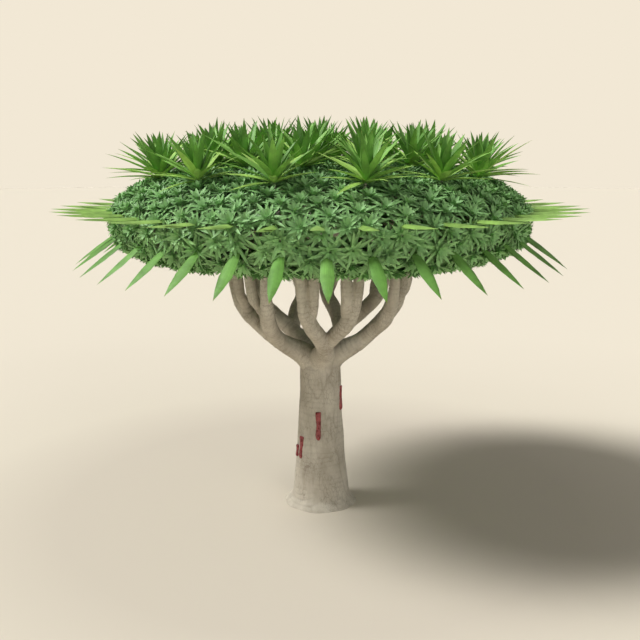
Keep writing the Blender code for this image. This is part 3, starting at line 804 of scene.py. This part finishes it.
class Leaves:
    """Leaves as rows: foot, way, upper side, length, width, recurve, sag and tone."""

    def __init__(self):
        self.rows = []

    def add(self, feet, ways, uppers, lengths, widths, recurve, sag, tones):
        count = len(feet)
        values = (lengths, widths, recurve, sag, tones)
        columns = [np.broadcast_to(np.asarray(value, float), (count,)) for value in values]
        self.rows.append(np.column_stack([feet, ways, uppers, *columns]))

    def table(self):
        return np.concatenate(self.rows)


def leaf_mesh(name, table, shape, materials, fold=FOLD):
    """All the leaves of a table as one mesh: a folded blade each, drawn out to a point."""
    feet, ways, uppers = table[:, 0:3], table[:, 3:6], table[:, 6:9]
    length, width, recurve, sag = (table[:, i:i + 1] for i in range(9, 13))
    sides = np.cross(ways, uppers)
    points = []
    for t, share in (*shape, (1.0, 0.0)):
        middle = (feet + ways * length * t - uppers * recurve * length * t * t
                  - UP * sag * length * t * t)
        if share == 0.0:
            points.append(middle)
            continue
        half = width * share / 2
        edge = middle + uppers * half * fold
        points += [edge - sides * half, middle, edge + sides * half]
    stations = len(shape)
    count = 3 * stations + 1
    points = np.stack(points, 1).reshape(-1, 3)
    quads = []
    for i in range(stations - 1):
        a = 3 * i
        quads += [(a, a + 1, a + 4, a + 3), (a + 1, a + 2, a + 5, a + 4)]
    a = 3 * (stations - 1)
    tips = [(a, a + 1, a + 3), (a + 1, a + 2, a + 3)]
    starts = (np.arange(len(table)) * count)[:, None, None]
    quads = (starts + np.array(quads)).reshape(-1, 4)
    tips = (starts + np.array(tips)).reshape(-1, 3)
    tones = table[:, 13]
    face_tones = np.concatenate((np.repeat(tones, 2 * (stations - 1)), np.repeat(tones, 2)))
    piece = mesh_object(name, points, [quads, tips], face_tones)
    for material in materials:
        piece.data.materials.append(material)
    across = np.array([0.0, 0.5, 1.0] * stations + [0.5])
    along = np.array([t for t, _ in shape for _ in range(3)] + [1.0])
    corners = np.zeros(len(piece.data.loops), np.int32)
    piece.data.loops.foreach_get("vertex_index", corners)
    # Each leaf has its own stretch of the map's X, so that no two have the same veins.
    blade = np.stack((across[corners % count] + corners // count, along[corners % count]), 1)
    layer = piece.data.uv_layers.new(name="blade")
    layer.uv.foreach_set("vector", blade.astype(np.float32).ravel())
    return piece


def inside_crown(points, margin):
    """Which points lie inside the crown's outline, or no more than margin outside it."""
    across = np.hypot(points[..., 0] - CROWN_SHIFT, points[..., 1])
    rise = points[..., 2] - CROWN_MIDDLE
    over = np.maximum(rise, 0.0)
    dome = (across / (CROWN_RADIUS + margin)) ** DOME_POWER + (over / (DOME_RISE + margin)) ** 2
    heights, radii = zip(*LOWER_EDGE)
    edge = np.interp(points[..., 2], np.array(heights) - margin, np.array(radii) + margin)
    below = (across <= edge) & (points[..., 2] >= UNDERSIDE - margin)
    return np.where(rise >= 0.0, dome <= 1.0, below)


def rosette(foot, axis, count, tilts, draw):
    """Feet, ways, upper sides and ages of a rosette's leaves, the youngest and most upright first."""
    helper = UP if abs(axis[2]) < 0.9 else np.array((1.0, 0.0, 0.0))
    first = unit(np.cross(axis, helper))
    second = np.cross(axis, first)
    index = np.arange(count)
    age = (index + 0.5) / count
    turn = index * GOLDEN_ANGLE + draw.uniform(0.0, math.tau) + draw.normal(0.0, 0.12, count)
    tilt = np.radians(tilts[0] + (tilts[1] - tilts[0]) * age ** 0.85)
    tilt = tilt + draw.normal(0.0, 0.07, count)
    away = np.outer(np.cos(turn), first) + np.outer(np.sin(turn), second)
    ways = axis * np.cos(tilt)[:, None] + away * np.sin(tilt)[:, None]
    uppers = axis * np.sin(tilt)[:, None] - away * np.cos(tilt)[:, None]
    feet = foot + axis * (ROSETTE_HEIGHT * (1.0 - age))[:, None] + away * ROSETTE_RADIUS
    return feet, ways, uppers, age


def trimmed_lengths(feet, ways, lengths, margin):
    """Leaf lengths cut back until their tips lie inside the crown's outline."""
    lengths = lengths.copy()
    for _ in range(TRIM_ROUNDS):
        outside = ~inside_crown(feet + ways * lengths[:, None], margin)
        lengths[outside] = np.maximum(lengths[outside] * TRIM_STEP, SHORTEST_LEAF)
    return lengths


def fill_rosettes(leaves, feet, axes, count, tilts, draw):
    """Adds a rosette at every foot, of one tone and trimmed to the crown's outline."""
    for foot, axis in zip(feet, axes):
        axis = unit(axis + UP * FILL_UPTURN * (axis[2] > -0.5))
        bases, ways, uppers, age = rosette(foot, axis, count, tilts, draw)
        margin = draw.uniform(*FILL_MARGIN)
        lengths = FILL_LENGTH * draw.uniform(*FILL_LENGTHS) * (0.72 + 0.28 * np.sin(age * 2.4))
        lengths = trimmed_lengths(bases, ways, lengths, margin)
        tone = draw.choice(3, p=FILL_ODDS)
        widths = FILL_WIDTH * draw.uniform(*FILL_WIDTHS)
        leaves.add(bases, ways, uppers, lengths, widths, FILL_RECURVE, FILL_SAG, tone)


def sector_of(points):
    """Which bough's mass a point belongs to, or the last number for the middle mass."""
    azimuth = np.arctan2(points[:, 0] - CROWN_SHIFT, -points[:, 1])
    step = math.tau / len(BOUGH_NAMES)
    sector = np.floor(((azimuth - BOUGH_AZIMUTH + step / 2) % math.tau) / step).astype(int)
    middle = np.hypot(points[:, 0] - CROWN_SHIFT, points[:, 1]) < MIDDLE_RADIUS
    return np.where(middle, len(BOUGH_NAMES), sector)


def make_crown_leaves(leaves, materials):
    """The crown's leaves in one piece over each bough and one in the middle."""
    table = leaves.table()
    sector = sector_of(table[:, 0:3])
    pieces = []
    for index, name in enumerate((*BOUGH_NAMES, "middle")):
        piece = leaf_mesh("crown_leaves_" + name, table[sector == index], LEAF_SHAPE, materials)
        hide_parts("foliage_" + name)
        pieces.append(piece)
    return pieces


def make_tufts(rows, materials, draw):
    """The large bright tufts on top: lime leaves spread low, mid green ones stand upright."""
    leaves = Leaves()
    for foot, axis, outward, reach in rows:
        bases, ways, uppers, age = rosette(foot, axis, TUFT_LEAVES, TUFT_TILTS, draw)
        outreach = np.maximum(0.0, ways @ outward) ** 2 * (reach - 1.0)
        lengths = (TUFT_LENGTH + TUFT_MID_LENGTH * np.sin(age * math.pi)) * (1.0 + outreach)
        lengths = lengths * draw.uniform(0.88, 1.08, len(age))
        tones = np.digitize(age + draw.normal(0.0, 0.10, len(age)), TUFT_TONE_AGES)
        widths = TUFT_WIDTH * draw.uniform(0.75, 1.15, len(age)) * (1.0 - 0.35 * age ** 3)
        leaves.add(bases, ways, uppers, lengths, widths, TUFT_BEND, TUFT_BEND, tones)
    return leaf_mesh("tuft_leaves", leaves.table(), TUFT_SHAPE, materials)


def fringe_spray(leaves, foot, tip, sag, draw):
    """A spray of leaves: the longest reaches tip, and the others lie just under it."""
    whole = tip - foot
    side = unit(np.cross(whole, UP))
    for layer, (offset, share) in enumerate(FRINGE_FAN):
        aside = side * math.tan(math.radians(offset))
        heading = unit(unit(whole) + aside + UP * draw.normal(0.0, FRINGE_LIFT))
        upper = unit(np.cross(side, heading))
        length = np.linalg.norm(whole + UP * sag * np.linalg.norm(whole)) * share
        aimed = unit(heading + UP * sag)
        upper = unit(upper - aimed * (upper @ aimed))
        tone = draw.choice(2, p=FRINGE_ODDS)
        base = foot - upper * FRINGE_LAYER * layer
        width = FRINGE_WIDTH * share
        leaves.add(base[None], aimed[None], upper[None], length, width, 0.0, sag, tone)


def make_fringe(name, count, start, root, tip, sag, materials, draw):
    """A fringe of sprays right round the crown, and the feet and axes that branches grow to."""
    leaves = Leaves()
    feet, axes = [], []
    for azimuth in (start + math.tau * i / count for i in range(count)):
        foot = np.array(crown_point(root[0], azimuth, root[1]))
        fringe_spray(leaves, foot, np.array(crown_point(tip[0], azimuth, tip[1])), sag, draw)
        feet.append(foot)
        axes.append(np.array(polar(1.0, azimuth, 0.0)))
    fringe = leaf_mesh(name, leaves.table(), FRINGE_SHAPE, materials, FRINGE_FOLD)
    return fringe, np.array(feet), np.array(axes)


# ---- Resin ---------------------------------------------------------------------------------------
RESIN_HALF_WIDTH = 0.040
RESIN_DEPTH = 0.035
RESIN_SEAT = 0.004          # how far its middle lies under the bark
RESIN_WANDER = 0.003
RESIN_LEVELS = 25
RESIN_SIDES = 16
RESIN_PROFILE = (           # (share of the height, share of the width)
    (0.0, 0.30), (0.05, 0.78), (0.15, 0.95), (0.5, 0.76), (0.88, 0.97), (0.97, 1.0), (1.0, 0.86),
)


def make_resin(index, material):
    """A run of resin where the node has it, narrow in the middle."""
    low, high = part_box(f"resin_{index}")
    centre = (low + high) / 2
    azimuth = math.atan2(centre.x - trunk_axis(centre.z).x, -centre.y)
    outward = polar(1.0, azimuth, 0.0)
    aside = polar(1.0, azimuth + math.pi / 2, 0.0)
    shares, widths = zip(*RESIN_PROFILE)
    rings = []
    for share in np.linspace(0.0, 1.0, RESIN_LEVELS):
        height = low.z + (high.z - low.z) * share
        width = np.interp(share, shares, widths)
        wander = RESIN_WANDER * math.sin(9.0 * share + index)
        middle = trunk_axis(height) + outward * (trunk_radius(height) - RESIN_SEAT) + aside * wander
        ring = []
        for angle in np.linspace(0.0, math.tau, RESIN_SIDES, endpoint=False):
            across = aside * math.cos(angle) * RESIN_HALF_WIDTH
            ring.append((middle + (across + outward * math.sin(angle) * RESIN_DEPTH) * width)[:])
        rings.append(np.array(ring))
    points, quads, caps = closed_skin(rings)
    drip = mesh_object(f"resin_drip_{index}", points, [quads, caps])
    drip.data.shade_smooth()
    drip.data.materials.append(material)
    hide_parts(f"resin_{index}")
    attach(drip, "root")


# ---- Making the stage, light and camera ----------------------------------------------------------
def stage_object(name, bm):
    """A mesh object of bm, which is then freed."""
    mesh = bpy.data.meshes.new(name)
    bm.to_mesh(mesh)
    bm.free()
    piece = bpy.data.objects.new(name, mesh)
    bpy.context.scene.collection.objects.link(piece)
    return piece


def make_stage():
    """A pale floor, darkened near the tree by painted shade, that runs out to a pale round backdrop.
    """
    bm = bmesh.new()
    bmesh.ops.create_circle(bm, cap_ends=True, segments=96, radius=STAGE_RADIUS)
    floor = stage_object("floor", bm)
    m = Nodes("floor")
    distance = m.add("VectorMath", {0: m.place}, operation="LENGTH").outputs["Value"]
    # Painted shade: the floor grows darker towards the tree.
    floor_shade_tone = m.ramp(m.math("DIVIDE", distance, FLOOR_REACH), FLOOR_SHADE_TONES)
    floor.data.materials.append(m.finish(floor_shade_tone, 0.9, specular=0.0))
    bm = bmesh.new()
    bmesh.ops.create_icosphere(bm, subdivisions=5, radius=STAGE_RADIUS * BACKDROP_SHARE)
    backdrop = stage_object("backdrop", bm)
    glow = bpy.data.materials.new("backdrop")
    glow.use_nodes = True
    glow.node_tree.nodes.clear()
    emission = glow.node_tree.nodes.new("ShaderNodeEmission")
    emission.inputs["Color"].default_value = opaque(BACKGROUND)
    output = glow.node_tree.nodes.new("ShaderNodeOutputMaterial")
    glow.node_tree.links.new(emission.outputs[0], output.inputs["Surface"])
    backdrop.data.materials.append(glow)
    for flag in ("visible_diffuse", "visible_glossy", "visible_shadow", "visible_transmission"):
        setattr(backdrop, flag, False)


def make_sun(name, heading, strength, softness):
    """A distant lamp that shines along heading."""
    lamp = bpy.data.lights.new(name, "SUN")
    lamp.energy = strength
    lamp.angle = math.radians(softness)
    holder = bpy.data.objects.new(name, lamp)
    holder.rotation_euler = Vector(heading).to_track_quat("-Z", "Y").to_euler()
    bpy.context.scene.collection.objects.link(holder)


def make_light():
    """A soft key from the left, a softer fill from the front, and an even pale sky."""
    make_sun("key", KEY_HEADING, KEY_STRENGTH, KEY_SOFTNESS)
    make_sun("fill", FILL_HEADING, FILL_STRENGTH, FILL_SOFTNESS)
    world = bpy.data.worlds.new("studio")
    bpy.context.scene.world = world
    world.use_nodes = True
    sky = world.node_tree.nodes["Background"]
    sky.inputs["Color"].default_value = SKY_COLOUR
    sky.inputs["Strength"].default_value = SKY_STRENGTH


def make_camera():
    camera = bpy.data.cameras.new("camera")
    camera.lens = LENS
    camera.clip_end = 3.0 * STAGE_RADIUS
    holder = bpy.data.objects.new("camera", camera)
    holder.location = CAMERA_PLACE
    holder.rotation_euler = (math.pi / 2 - CAMERA_DIP, 0.0, 0.0)
    bpy.context.scene.collection.objects.link(holder)
    bpy.context.scene.camera = holder
    bpy.context.scene.view_settings.view_transform = "Standard"


# ---- Assembly ------------------------------------------------------------------------------------
def main():
    make_camera()
    make_light()
    make_stage()

    bark_finish = bark_material()
    resin_finish = resin_material()

    routes = limb_routes()
    bark = make_bark(routes, bark_finish)
    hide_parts("trunk", *nodes_named("bough_"), *nodes_named("arm_"), *nodes_named("limb_"))
    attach(bark, "root")

    draw = np.random.default_rng(SEED)
    tuft_rows = tuft_places()
    feet, axes = scattered(FILL_SPACING, FILL_DEPTH, random.Random(SEED))
    inner_feet, inner_axes = scattered(INNER_SPACING, INNER_DEPTH, random.Random(SEED + 1))
    crown = Leaves()
    fill_rosettes(crown, feet, axes, FILL_LEAVES, FILL_TILTS, draw)
    fill_rosettes(crown, inner_feet, inner_axes, INNER_LEAVES, INNER_TILTS, draw)
    for piece in make_crown_leaves(crown, leaf_materials(CROWN_GREENS, CROWN_VARIATION)):
        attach(piece, "root")

    tufts = make_tufts(tuft_rows, leaf_materials(TUFT_GREENS), draw)
    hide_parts(*nodes_named("tuft_"))
    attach(tufts, "root")

    rim, rim_feet, rim_axes = make_fringe(
        "rim_leaves", RIM_LEAVES, RIM_START, RIM_ROOT, RIM_TIP, RIM_SAG,
        leaf_materials(RIM_GREENS), draw)
    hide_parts(*nodes_named("rim_leaves_"))
    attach(rim, "root")
    skirt, skirt_feet, skirt_axes = make_fringe(
        "skirt_leaves", SKIRT_LEAVES, SKIRT_START, SKIRT_ROOT, SKIRT_TIP, SKIRT_SAG,
        leaf_materials(SKIRT_GREENS), draw)
    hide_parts(*nodes_named("skirt_leaves_"))
    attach(skirt, "root")

    tuft_feet = np.array([row[0] for row in tuft_rows])
    tuft_axes = np.array([row[1] for row in tuft_rows])
    all_feet = np.concatenate((feet, inner_feet, tuft_feet, rim_feet, skirt_feet))
    all_axes = np.concatenate((axes, inner_axes, tuft_axes, rim_axes, skirt_axes))
    branches = make_branches(routes, all_feet, all_axes, bark_finish, draw)
    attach(branches, "root")

    for index in range(1, len(nodes_named("resin_")) + 1):
        make_resin(index, resin_finish)


main()
